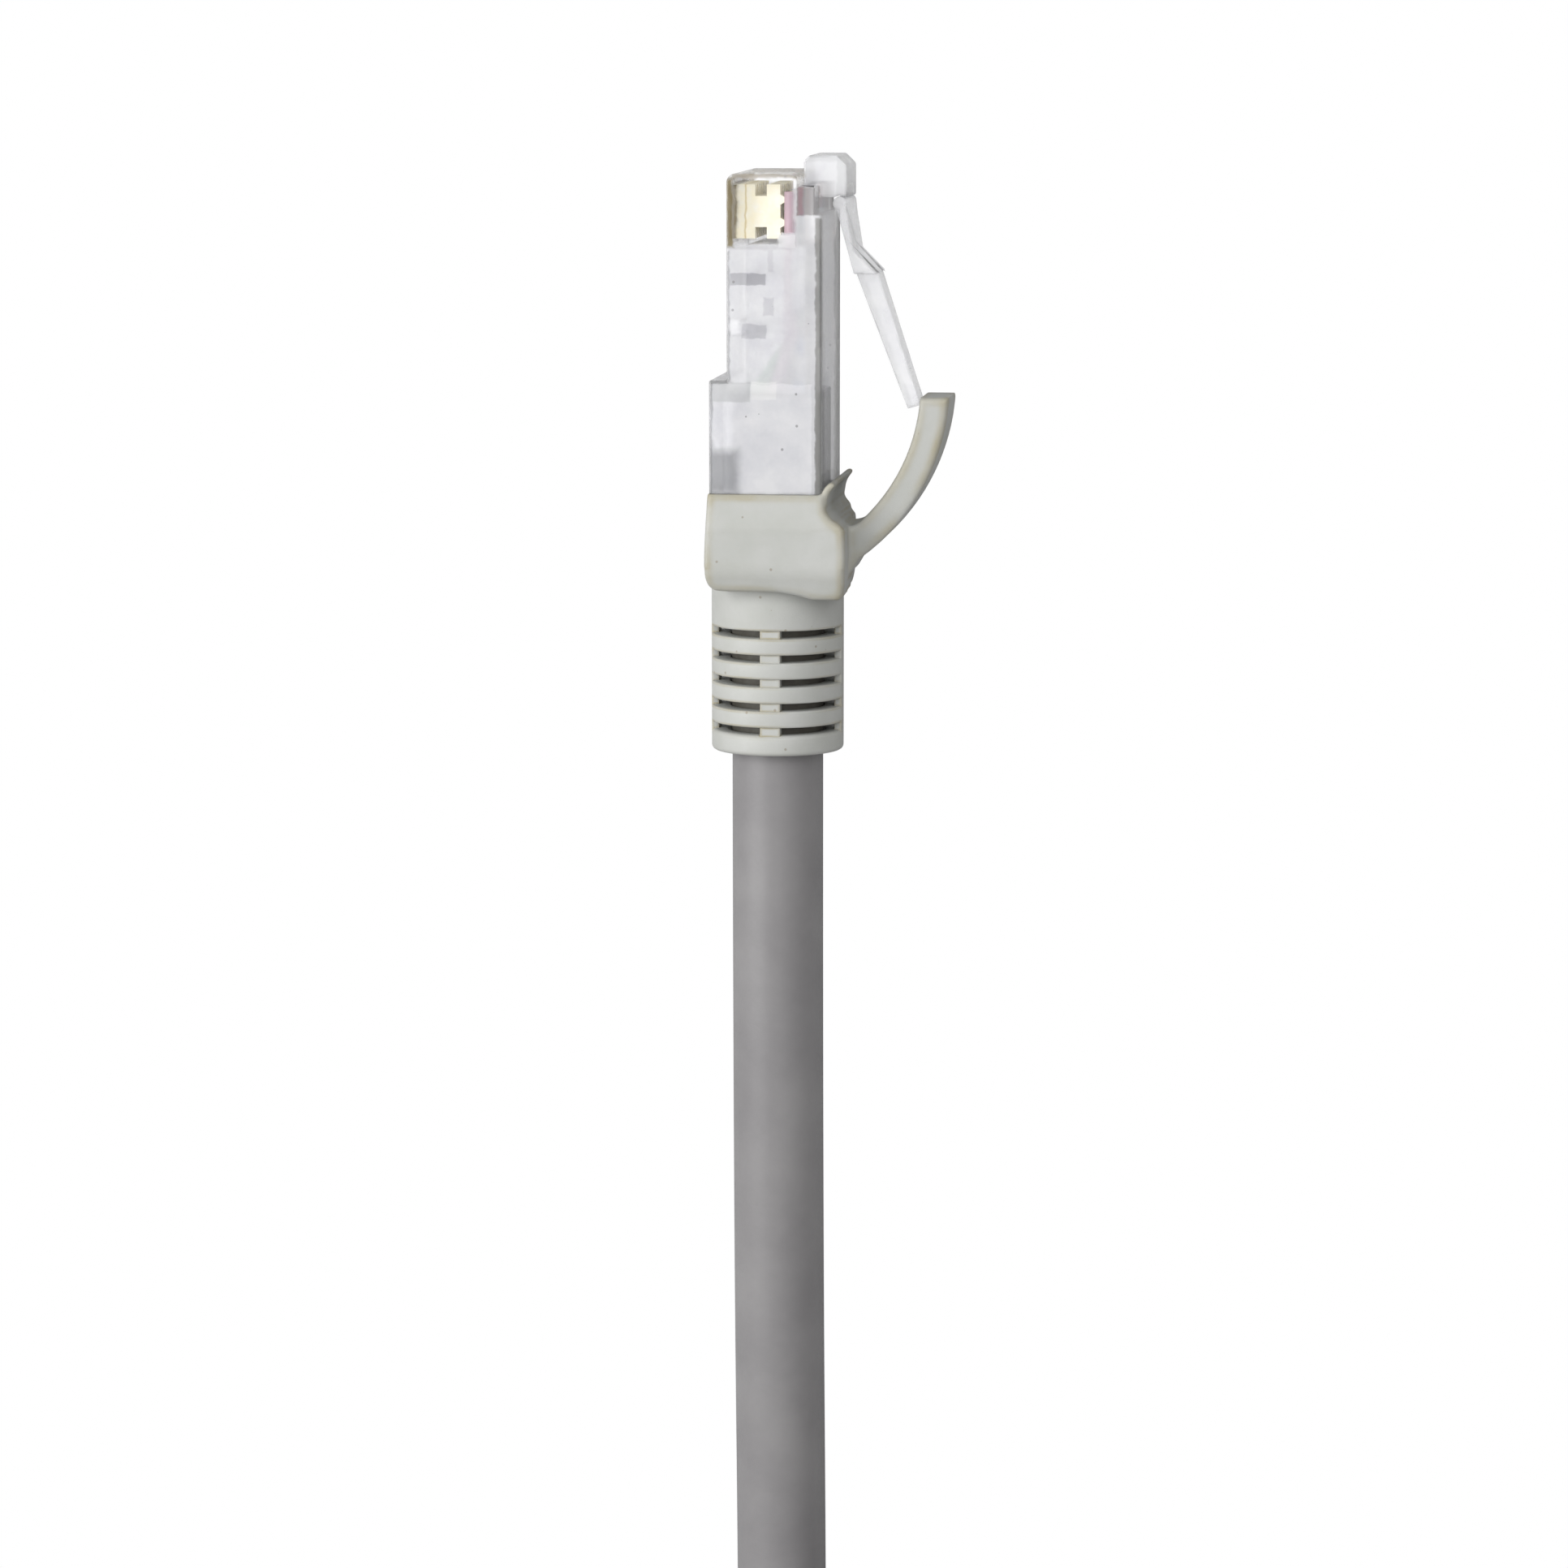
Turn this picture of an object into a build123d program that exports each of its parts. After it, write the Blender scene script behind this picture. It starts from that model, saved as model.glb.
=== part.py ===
from build123d import *
import os
from math import cos, pi, radians, sin, tan

# Ethernet patch cable, in millimetres: eight-way plug A lies on its side on the ground with its cable
# running back to a tied coil, and plug B rests on top of the coil.
# World frame: +X toward plug A's latch, +Y toward its nose, +Z up from the ground.
# Each plug is drawn in its own frame, with the origin on the cable axis at the nose: x toward the latch,
# y toward the nose, z across the width. "back" is a distance behind the nose.

# Plug housing
PLUG_WIDTH = 11.68
PLUG_LENGTH = 22.2
CONTACT_SIDE = -2.85
SHOULDER_SIDE = -4.1
SHOULDER_BACK = 14.3
LATCH_SIDE = 3.75
NOSE_TOP = 2.15
NOSE_STEP = 3.3
NOSE_STEP_BACK = 0.9
LATCH_STEP_BACK = 2.8
NOSE_ROUND = 0.6
ROOT_WIDTH = 6.0
ROOT_INNER, ROOT_OUTER = 2.2, 5.2
ROOT_AHEAD = 1.2
ROOT_BACK = 1.7

# Spaces in the housing
ENTRY_BACK = 15.3
ENTRY_HEIGHT, ENTRY_WIDTH = 6.7, 8.6
ENTRY_ROUND = 0.8
ROOM_BACK = 4.9
ROOM_LOW, ROOM_HIGH = -1.6, 2.6
ROOM_WIDTH = 9.2
WIRE_SLOT_HEIGHT, WIRE_SLOT_WIDTH = 1.1, 8.2
WIRE_SLOT_BACK = 1.0

# Contacts
PINS = 8
PITCH = 1.02
BLADE_THICKNESS = 0.3
BLADE_LOW, BLADE_HIGH = -2.64, 0.65
BLADE_FRONT, BLADE_BACK = 0.8, 4.55
NOTCH_LOW, NOTCH_HIGH = -1.1, -0.3
NOTCH_DEPTH = 0.8
PRONG_TIP = 1.25
PRONG_WIDTH = 0.7
SLOT_GAP = 0.03

# Wires
ROW = 1.35
WIRE_DIAMETER = 0.9
COPPER_DIAMETER = 0.51
WIRE_FRONT = 1.3
FLAT_BACK = 11.4
FAN_BACK = 15.6
WIRE_BEND = 2.5
# Place of each wire inside the jacket, as (toward the latch, across), in pin order.
PAIR_PLACES = [
    (0, -2.0), (0, -1.05), (-1.5, -0.48), (1.5, -0.48),
    (1.5, 0.48), (-1.5, 0.48), (0, 1.05), (0, 2.0),
]

# Bars that hold the wires and the jacket
LOAD_BAR_FRONT, LOAD_BAR_BACK = 5.2, 9.5
LOAD_BAR_LOW, LOAD_BAR_HIGH = 1.55, 2.5
LOAD_BAR_WIDTH = 8.9
CLAMP_BAR_FRONT, CLAMP_BAR_BACK = 10.2, 11.2
CLAMP_BAR_HIGH = 0.87
CLAMP_BAR_WIDTH = 8.2
GRIP_FRONT, GRIP_BACK = 15.9, 19.3
GRIP_WIDTH = 5.6
GRIP_PRESS = 0.4
PART_GAP = 0.05

# Cable
CABLE_DIAMETER = 6.5
JACKET_BORE = 5.0
JACKET_FRONT = 15.5
SPLINE_REACH = 2.4
SPLINE_THICKNESS = 0.35

# Boot
BOOT_LENGTH = 18.6
NECK_RADIUS = 4.68
NECK_BORE = CABLE_DIAMETER / 2 + 0.07
NECK_FRONT = 27.0
HOOD_HALF = 6.5
HOOD_RIM_HALF = 6.1
HOOD_CONTACT = 4.45
HOOD_ROUND = 0.9
HOOD_FLAT_FRONT, HOOD_FLAT_BACK = 24.5, 27.6
TONGUE_LENGTH = 2.0
SLOT_LEVELS = 5
SLOT_FIRST = 31.93
SLOT_PITCH = 1.71
SLOT_HEIGHT = 0.55
BRIDGE = 1.45

# Boot arm and latch, each turning about an axis across the plug's width
ARM_HINGE = (5.6, 25.7)
ARM_CENTRE = (-2.5, 14.5)
ARM_INNER, ARM_OUTER = 13.0, 15.0
ARM_WIDTH = 5.9
ARM_TIP_BACK = 15.6
ARM_KNUCKLE = 1.6
LATCH_HINGE = (4.72, 2.15)
LATCH_KNUCKLE = 0.5
LATCH_WIDTH = 6.1
LEVER_WIDTH = 3.2
LATCH_SHOULDER_BACK = 7.0
HINGE_GAP = 0.06

# Cable route. Plug A's pieces stand centred over the origin, and the coil lies behind them.
AXIS_X = -(ARM_CENTRE[0] + ARM_OUTER - HOOD_CONTACT) / 2
NOSE_Y = (PLUG_LENGTH + BOOT_LENGTH - ROOT_AHEAD) / 2
LYING_Z = HOOD_HALF
EXIT_BACK = PLUG_LENGTH + BOOT_LENGTH
TURN_OUTER, TURN_INNER = 36.0, 29.5
TURN_LOW, TURN_HIGH = 3.75, 10.25
COIL_X = AXIS_X + TURN_OUTER
COIL_Y = NOSE_Y - 141.2
COIL_SECTION = 2 * CABLE_DIAMETER
PLUG_B_EXIT = (2.6, -25.3, 20.0)
TIE_THICKNESS = 0.4
TIE_GAP = 0.1
TIE_WIDTH = 4.0
TIE_AT = 0

PLUG_A = Plane(origin=(AXIS_X, NOSE_Y, LYING_Z), x_dir=(1, 0, 0), z_dir=(0, 0, 1))
PLUG_B = Plane(
    origin=(COIL_X + PLUG_B_EXIT[0] + EXIT_BACK, COIL_Y + PLUG_B_EXIT[1], PLUG_B_EXIT[2]),
    x_dir=(0, 1, 0),
    z_dir=(0, 0, -1),
)

# Control points of the two stretches that aren't coiled.
RUN_POINTS = [
    (AXIS_X, NOSE_Y - EXIT_BACK, LYING_Z),
    (AXIS_X, NOSE_Y - 71, LYING_Z),
    (AXIS_X, NOSE_Y - 108, TURN_LOW),
    (AXIS_X, COIL_Y, TURN_LOW),
]
TAIL_POINTS = [
    (COIL_X + 3.0, COIL_Y + 35.6, 12.5),
    (COIL_X - 13.0, COIL_Y + 35.6, 14.6),
    (COIL_X - 27.0, COIL_Y + 27.6, 16.4),
    (COIL_X - 35.2, COIL_Y + 13.4, 17.6),
    (COIL_X - 35.2, COIL_Y - 3.4, 18.6),
    (COIL_X - 26.8, COIL_Y - 17.4, 19.5),
    (COIL_X - 12.9, COIL_Y + PLUG_B_EXIT[1], PLUG_B_EXIT[2]),
    (COIL_X + PLUG_B_EXIT[0], COIL_Y + PLUG_B_EXIT[1], PLUG_B_EXIT[2]),
]


def across(frame, back):
    """The plane square to the cable axis, back from the nose, facing back: x toward the latch, y across."""
    return Plane(frame.from_local_coords((0, -back, 0)), x_dir=frame.x_dir, z_dir=-frame.y_dir)


def facing_latch(frame, height):
    """The plane at height toward the latch, facing the latch: x toward the nose, y across the width."""
    return Plane(frame.from_local_coords((height, 0, 0)), x_dir=frame.y_dir, z_dir=frame.x_dir)


def pin_place(pin):
    """How far across the width pin 1 to 8 stands."""
    return (pin - (PINS + 1) / 2) * PITCH


def save(piece, node):
    piece.part.label = node
    export_step(piece.part, f"parts/{node}.step")


def make_housing(frame, node):
    """The clear plug body: stepped nose, contact slots, wire room and cable entry."""
    with BuildPart() as piece:
        with BuildSketch(frame.offset(-PLUG_WIDTH / 2)) as outline:
            with BuildLine():
                Polyline(
                    (CONTACT_SIDE, 0),
                    (NOSE_TOP, 0),
                    (NOSE_TOP, -NOSE_STEP_BACK),
                    (NOSE_STEP, -NOSE_STEP_BACK),
                    (NOSE_STEP, -LATCH_STEP_BACK),
                    (LATCH_SIDE, -LATCH_STEP_BACK),
                    (LATCH_SIDE, -PLUG_LENGTH),
                    (SHOULDER_SIDE, -PLUG_LENGTH),
                    (SHOULDER_SIDE, -SHOULDER_BACK),
                    (CONTACT_SIDE, -SHOULDER_BACK),
                    close=True,
                )
            make_face()
        extrude(amount=PLUG_WIDTH)
        nose = faces().sort_by(Axis(frame.origin, frame.y_dir))[-1]
        fillet(nose.edges().filter_by(Axis(frame.origin, frame.z_dir)), NOSE_ROUND)
        with BuildSketch(frame.offset(-ROOT_WIDTH / 2)):
            with BuildLine():
                Polyline(
                    (ROOT_INNER, ROOT_AHEAD - 0.4),
                    (ROOT_INNER + 0.4, ROOT_AHEAD),
                    (ROOT_OUTER - 0.7, ROOT_AHEAD),
                    (ROOT_OUTER, ROOT_AHEAD - 0.7),
                    (ROOT_OUTER, -ROOT_BACK),
                    (ROOT_INNER, -ROOT_BACK),
                    close=True,
                )
            make_face()
        extrude(amount=ROOT_WIDTH)
        with BuildSketch(across(frame, ENTRY_BACK)):
            RectangleRounded(ENTRY_HEIGHT, ENTRY_WIDTH, ENTRY_ROUND)
        extrude(amount=PLUG_LENGTH - ENTRY_BACK, mode=Mode.SUBTRACT)
        with BuildSketch(across(frame, ROOM_BACK)):
            with Locations(((ROOM_LOW + ROOM_HIGH) / 2, 0)):
                Rectangle(ROOM_HIGH - ROOM_LOW, ROOM_WIDTH)
        extrude(amount=ENTRY_BACK - ROOM_BACK, mode=Mode.SUBTRACT)
        with BuildSketch(across(frame, WIRE_SLOT_BACK)):
            with Locations((ROW, 0)):
                Rectangle(WIRE_SLOT_HEIGHT, WIRE_SLOT_WIDTH)
        extrude(amount=ROOM_BACK - WIRE_SLOT_BACK, mode=Mode.SUBTRACT)
        with BuildSketch(facing_latch(frame, CONTACT_SIDE)):
            slot_length = BLADE_BACK - BLADE_FRONT + 2 * SLOT_GAP
            for pin in range(1, PINS + 1):
                with Locations((-(BLADE_FRONT + BLADE_BACK) / 2, pin_place(pin))):
                    Rectangle(slot_length, BLADE_THICKNESS + 2 * SLOT_GAP)
            with Locations((-(CLAMP_BAR_FRONT + CLAMP_BAR_BACK) / 2, 0)):
                Rectangle(CLAMP_BAR_BACK - CLAMP_BAR_FRONT + 0.2, CLAMP_BAR_WIDTH - 0.6)
        extrude(amount=ROW - CONTACT_SIDE - WIRE_SLOT_HEIGHT / 2, mode=Mode.SUBTRACT)
        with BuildSketch(facing_latch(frame, SHOULDER_SIDE)):
            with Locations((-(GRIP_FRONT + GRIP_BACK) / 2, 0)):
                Rectangle(GRIP_BACK - GRIP_FRONT + 2 * PART_GAP, GRIP_WIDTH + 2 * PART_GAP)
        extrude(amount=-SHOULDER_SIDE - ENTRY_HEIGHT / 2 + 0.2, mode=Mode.SUBTRACT)
        with BuildSketch(frame.offset(-LATCH_WIDTH / 2 - 0.1)):
            with Locations((LATCH_HINGE[0], -LATCH_HINGE[1])):
                Circle(LATCH_KNUCKLE + HINGE_GAP)
        extrude(amount=LATCH_WIDTH + 0.2, mode=Mode.SUBTRACT)
    save(piece, node)


def make_latch(frame, node):
    """The locking latch: a round leg at the nose, a wide wedge to the locking shoulder, then a lever."""
    with BuildPart() as piece:
        with BuildSketch(frame.offset(-LATCH_WIDTH / 2)):
            with Locations((LATCH_HINGE[0], -LATCH_HINGE[1])):
                Circle(LATCH_KNUCKLE)
            with BuildLine():
                Polyline(
                    (LATCH_HINGE[0] - LATCH_KNUCKLE, -LATCH_HINGE[1]),
                    (LATCH_HINGE[0] + LATCH_KNUCKLE, -LATCH_HINGE[1]),
                    (5.3, -2.9),
                    (5.7, -5.4),
                    (7.28, -LATCH_SHOULDER_BACK),
                    (5.7, -LATCH_SHOULDER_BACK),
                    (4.6, -3.0),
                    close=True,
                )
            make_face()
        extrude(amount=LATCH_WIDTH)
        with BuildSketch(frame.offset(-LEVER_WIDTH / 2)):
            with BuildLine():
                Polyline(
                    (5.45, -6.0),
                    (7.1, -6.8),
                    (7.28, -LATCH_SHOULDER_BACK),
                    (10.25, -16.2),
                    (9.36, -16.45),
                    (5.7, -LATCH_SHOULDER_BACK),
                    close=True,
                )
            make_face()
        extrude(amount=LEVER_WIDTH)
    save(piece, node)


def make_blade(frame, pin):
    """One gold contact: an upright blade with a notch in each end and two prongs that pierce the wire."""
    with BuildPart(mode=Mode.PRIVATE) as piece:
        with BuildSketch(frame.offset(pin_place(pin) - BLADE_THICKNESS / 2)):
            with BuildLine():
                Polyline(
                    (BLADE_LOW, -BLADE_FRONT),
                    (NOTCH_LOW, -BLADE_FRONT),
                    (NOTCH_LOW, -BLADE_FRONT - NOTCH_DEPTH),
                    (NOTCH_HIGH, -BLADE_FRONT - NOTCH_DEPTH),
                    (NOTCH_HIGH, -BLADE_FRONT),
                    (BLADE_HIGH, -BLADE_FRONT),
                    (BLADE_HIGH, -1.5),
                    (PRONG_TIP, -1.5 - PRONG_WIDTH / 2),
                    (BLADE_HIGH, -1.5 - PRONG_WIDTH),
                    (BLADE_HIGH, -3.1),
                    (PRONG_TIP, -3.1 - PRONG_WIDTH / 2),
                    (BLADE_HIGH, -3.1 - PRONG_WIDTH),
                    (BLADE_HIGH, -BLADE_BACK),
                    (NOTCH_HIGH, -BLADE_BACK),
                    (NOTCH_HIGH, -BLADE_BACK + NOTCH_DEPTH),
                    (NOTCH_LOW, -BLADE_BACK + NOTCH_DEPTH),
                    (NOTCH_LOW, -BLADE_BACK),
                    (BLADE_LOW, -BLADE_BACK),
                    close=True,
                )
            make_face()
        extrude(amount=BLADE_THICKNESS)
    return piece


def make_wire(frame, pin, outer, inner):
    """One wire along its route from the boot to its place in the row under the contacts."""
    place, aside = PAIR_PLACES[pin - 1]
    stops = [
        (place, -EXIT_BACK, aside),
        (place, -FAN_BACK, aside),
        (ROW, -FLAT_BACK, pin_place(pin)),
        (ROW, -WIRE_FRONT, pin_place(pin)),
    ]
    with BuildPart() as piece:
        with BuildLine():
            FilletPolyline(*[frame.from_local_coords(stop) for stop in stops], radius=WIRE_BEND)
        with BuildSketch(across(frame, EXIT_BACK)):
            with Locations((place, aside)):
                Circle(outer / 2)
                if inner:
                    Circle(inner / 2, mode=Mode.SUBTRACT)
        sweep()
        add(make_blade(frame, pin).part, mode=Mode.SUBTRACT)
    return piece


def make_jacket_end(frame, node):
    """The cable's jacket from inside the plug to the back of the boot, dented by the strain relief."""
    with BuildPart() as piece:
        with BuildSketch(across(frame, JACKET_FRONT)):
            Circle(CABLE_DIAMETER / 2)
            Circle(JACKET_BORE / 2, mode=Mode.SUBTRACT)
        extrude(amount=EXIT_BACK - JACKET_FRONT)
        with BuildSketch(facing_latch(frame, -CABLE_DIAMETER / 2)):
            with Locations((-(GRIP_FRONT + GRIP_BACK) / 2, 0)):
                Rectangle(GRIP_BACK - GRIP_FRONT, GRIP_WIDTH)
        extrude(amount=GRIP_PRESS, mode=Mode.SUBTRACT)
    save(piece, node)


def make_cross_spline(frame, node):
    """The plastic cross that keeps the four wire pairs apart inside the jacket."""
    with BuildPart() as piece:
        with BuildSketch(across(frame, JACKET_FRONT + 0.4)):
            for turn in (45, 135):
                Rectangle(2 * SPLINE_REACH, SPLINE_THICKNESS, rotation=turn)
        extrude(amount=EXIT_BACK - JACKET_FRONT - 0.4)
    save(piece, node)


def make_bars(frame, letter):
    """The load bar that spaces the wires, and the two wedges that hold the wires and the jacket."""
    with BuildPart() as load_bar:
        with BuildSketch(across(frame, LOAD_BAR_FRONT)):
            with Locations(((LOAD_BAR_LOW + LOAD_BAR_HIGH) / 2, 0)):
                Rectangle(LOAD_BAR_HIGH - LOAD_BAR_LOW, LOAD_BAR_WIDTH)
            for pin in range(1, PINS + 1):
                with Locations((ROW, pin_place(pin))):
                    Circle(WIRE_DIAMETER / 2 + PART_GAP, mode=Mode.SUBTRACT)
        extrude(amount=LOAD_BAR_BACK - LOAD_BAR_FRONT)
    save(load_bar, f"plug_{letter}_load_bar")

    with BuildPart() as wire_clamp:
        with BuildSketch(frame.offset(-CLAMP_BAR_WIDTH / 2 + 0.4)):
            with BuildLine():
                Polyline(
                    (CONTACT_SIDE + 0.6, -CLAMP_BAR_FRONT),
                    (CLAMP_BAR_HIGH, -CLAMP_BAR_FRONT - 0.2),
                    (CLAMP_BAR_HIGH, -CLAMP_BAR_BACK + 0.2),
                    (CONTACT_SIDE + 0.6, -CLAMP_BAR_BACK),
                    close=True,
                )
            make_face()
        extrude(amount=CLAMP_BAR_WIDTH - 0.8)
    save(wire_clamp, f"plug_{letter}_conductor_clamp")

    with BuildPart() as grip:
        with BuildSketch(frame.offset(-GRIP_WIDTH / 2)):
            with BuildLine():
                Polyline(
                    (SHOULDER_SIDE + 0.1, -GRIP_FRONT),
                    (GRIP_PRESS - CABLE_DIAMETER / 2, -GRIP_FRONT - 1.2),
                    (GRIP_PRESS - CABLE_DIAMETER / 2, -GRIP_BACK + 0.3),
                    (SHOULDER_SIDE + 0.6, -GRIP_BACK),
                    (SHOULDER_SIDE + 0.1, -GRIP_BACK + 1.0),
                    close=True,
                )
            make_face()
        extrude(amount=GRIP_WIDTH)
    save(grip, f"plug_{letter}_jacket_clamp")


def make_boot(frame, node):
    """The moulded boot: a square hood behind the plug, a round slotted neck and a socket for the arm."""
    with BuildPart() as piece:
        with BuildSketch(frame.offset(-HOOD_HALF)):
            with BuildLine():
                lip = Polyline(
                    (5.1, -24.5),
                    (5.15, -28.9),
                    (4.62, -30.3),
                    (1.5, -28.9),
                    (-HOOD_CONTACT + HOOD_ROUND, -28.6),
                    (-HOOD_CONTACT, -27.6),
                    (SHOULDER_SIDE - 0.05, -PLUG_LENGTH),
                    (LATCH_SIDE + 0.05, -PLUG_LENGTH),
                    (LATCH_SIDE + 0.05, -21.9),
                    (4.6, -21.35),
                    (4.75, -21.6),
                    (4.2, -22.6),
                )
                ThreePointArc(lip @ 1, (4.35, -23.7), lip @ 0)
            make_face()
        extrude(amount=2 * HOOD_HALF)
        with BuildSketch(facing_latch(frame, SHOULDER_SIDE - 1)):
            with BuildLine():
                Polyline(
                    (-21, HOOD_RIM_HALF),
                    (-PLUG_LENGTH, HOOD_RIM_HALF),
                    (-HOOD_FLAT_FRONT, HOOD_HALF),
                    (-HOOD_FLAT_BACK, HOOD_HALF),
                    (-28.4, HOOD_HALF - 0.3),
                    (-30.6, NECK_RADIUS),
                    (-30.6, -NECK_RADIUS),
                    (-28.4, -HOOD_HALF + 0.3),
                    (-HOOD_FLAT_BACK, -HOOD_HALF),
                    (-HOOD_FLAT_FRONT, -HOOD_HALF),
                    (-PLUG_LENGTH, -HOOD_RIM_HALF),
                    (-21, -HOOD_RIM_HALF),
                    close=True,
                )
            make_face()
        extrude(amount=12, mode=Mode.INTERSECT)
        with BuildSketch(across(frame, NECK_FRONT)):
            Circle(NECK_RADIUS)
        extrude(amount=EXIT_BACK - NECK_FRONT)
        with BuildSketch(across(frame, PLUG_LENGTH - TONGUE_LENGTH)):
            RectangleRounded(ENTRY_HEIGHT - 0.2, ENTRY_WIDTH - 0.2, ENTRY_ROUND)
        extrude(amount=TONGUE_LENGTH)
        with BuildSketch(across(frame, PLUG_LENGTH - TONGUE_LENGTH)):
            Circle(NECK_BORE)
        extrude(amount=BOOT_LENGTH + TONGUE_LENGTH, mode=Mode.SUBTRACT)
        for level in range(SLOT_LEVELS):
            with BuildSketch(across(frame, SLOT_FIRST + level * SLOT_PITCH)):
                Circle(NECK_RADIUS + 1)
                Rectangle(3 * NECK_RADIUS, BRIDGE, mode=Mode.SUBTRACT)
                Rectangle(BRIDGE, 3 * NECK_RADIUS, mode=Mode.SUBTRACT)
            extrude(amount=SLOT_HEIGHT, mode=Mode.SUBTRACT)
        with BuildSketch(frame.offset(-ARM_WIDTH / 2 - HINGE_GAP)):
            with Locations((ARM_HINGE[0], -ARM_HINGE[1])):
                Circle(ARM_KNUCKLE + HINGE_GAP)
        extrude(amount=ARM_WIDTH + 2 * HINGE_GAP, mode=Mode.SUBTRACT)
    save(piece, node)


def arm_point(radius, back):
    """The point of the arm's curve of that radius, that far behind the nose."""
    drop = back - ARM_CENTRE[1]
    return (ARM_CENTRE[0] + (radius**2 - drop**2) ** 0.5, -back)


def make_arm(frame, node):
    """The curved arm of the boot that covers the latch tip: a ring sector on a round root."""
    with BuildPart() as piece:
        with BuildSketch(frame.offset(-ARM_WIDTH / 2)):
            with Locations((ARM_HINGE[0], -ARM_HINGE[1])):
                Circle(ARM_KNUCKLE)
            with BuildLine():
                inner = ThreePointArc(
                    arm_point(ARM_INNER, ARM_TIP_BACK), arm_point(ARM_INNER, 20.5), arm_point(ARM_INNER, 24.2)
                )
                outer = ThreePointArc(
                    arm_point(ARM_OUTER, ARM_TIP_BACK), arm_point(ARM_OUTER, 21), arm_point(ARM_OUTER, 26.0)
                )
                Line(inner @ 0, outer @ 0)
                Line(outer @ 1, (ARM_HINGE[0], -ARM_HINGE[1]))
                Line((ARM_HINGE[0], -ARM_HINGE[1]), inner @ 1)
            make_face()
        extrude(amount=ARM_WIDTH)
    save(piece, node)


def make_end(frame, letter, joined_contacts):
    """Every piece of one end of the cable."""
    make_housing(frame, f"plug_{letter}_housing")
    make_latch(frame, f"plug_{letter}_latch")
    make_boot(frame, f"boot_{letter}")
    make_arm(frame, f"boot_{letter}_arm")
    make_bars(frame, letter)
    make_jacket_end(frame, f"cable_end_{letter}_jacket")
    make_cross_spline(frame, f"cable_end_{letter}_cross_spline")
    blades = [make_blade(frame, pin) for pin in range(1, PINS + 1)]
    if joined_contacts:
        with BuildPart() as contacts:
            add([blade.part for blade in blades])
        save(contacts, f"plug_{letter}_contacts")
    else:
        for pin, blade in enumerate(blades, start=1):
            save(blade, f"plug_{letter}_contact_{pin}")
    for pin in range(1, PINS + 1):
        save(make_wire(frame, pin, WIRE_DIAMETER, COPPER_DIAMETER), f"cable_end_{letter}_conductor_{pin}")
    with BuildPart() as copper:
        add([make_wire(frame, pin, COPPER_DIAMETER, 0).part for pin in range(1, PINS + 1)])
    save(copper, f"cable_end_{letter}_copper_cores")


def cord_radii(points):
    """The radius of the arc at each inner point: as large as the two runs beside it allow."""
    radii = []
    for before, here, after in zip(points, points[1:], points[2:]):
        first, second = Vector(here) - Vector(before), Vector(after) - Vector(here)
        turn = radians(first.get_angle(second))
        radii.append(0.45 * min(first.length, second.length) / tan(turn / 2))
    return radii


def make_cord(points, node):
    """A tube of the cable's diameter along straight runs joined by tangent arcs."""
    radii = cord_radii(points)
    with BuildPart() as piece:
        with BuildLine() as route:
            FilletPolyline(*points, radius=radii)
        with BuildSketch(Plane(origin=points[0], z_dir=Vector(points[1]) - Vector(points[0]))):
            Circle(CABLE_DIAMETER / 2)
        sweep()
    save(piece, node)
    length = sum(edge.length for edge in route.edges())
    fill = piece.part.volume / (pi * CABLE_DIAMETER**2 / 4 * length)
    rounded = [round(radius, 1) for radius in radii]
    print(node, "radii", rounded, "length", round(length, 1), "fill", round(fill, 4))


def make_coil():
    """The coiled length, as the ring that its four turns fill."""
    with BuildPart() as piece:
        with BuildSketch(Plane.XZ.offset(-COIL_Y)):
            with Locations((COIL_X + (TURN_OUTER + TURN_INNER) / 2, (TURN_LOW + TURN_HIGH) / 2)):
                RectangleRounded(COIL_SECTION, COIL_SECTION, CABLE_DIAMETER / 2 - 0.05)
        revolve(axis=Axis((COIL_X, COIL_Y, 0), (0, 0, 1)))
    save(piece, "cable_coil")


def make_tie():
    """The flat tie round the coil's turns."""
    middle = (TURN_OUTER + TURN_INNER) / 2
    outward = (cos(radians(TIE_AT)), sin(radians(TIE_AT)), 0)
    along = (-outward[1], outward[0], 0)
    centre = Vector(COIL_X, COIL_Y, (TURN_LOW + TURN_HIGH) / 2) + Vector(*outward) * middle
    with BuildPart() as piece:
        with BuildSketch(Plane(origin=centre, x_dir=outward, z_dir=along).offset(-TIE_WIDTH / 2)):
            inner = COIL_SECTION + 2 * TIE_GAP
            outer = inner + 2 * TIE_THICKNESS
            RectangleRounded(outer, outer, CABLE_DIAMETER / 2 + TIE_THICKNESS)
            RectangleRounded(inner, inner, CABLE_DIAMETER / 2, mode=Mode.SUBTRACT)
        extrude(amount=TIE_WIDTH)
    save(piece, "coil_tie")


os.makedirs("parts", exist_ok=True)
make_end(PLUG_A, "a", joined_contacts=False)
make_end(PLUG_B, "b", joined_contacts=True)
make_cord(RUN_POINTS, "cable_run")
make_cord(TAIL_POINTS, "cable_tail")
make_coil()
make_tie()
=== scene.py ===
from math import copysign, cos, pi, radians, sin, sqrt

import bmesh
import bpy
from mathutils import Matrix, Vector


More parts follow.
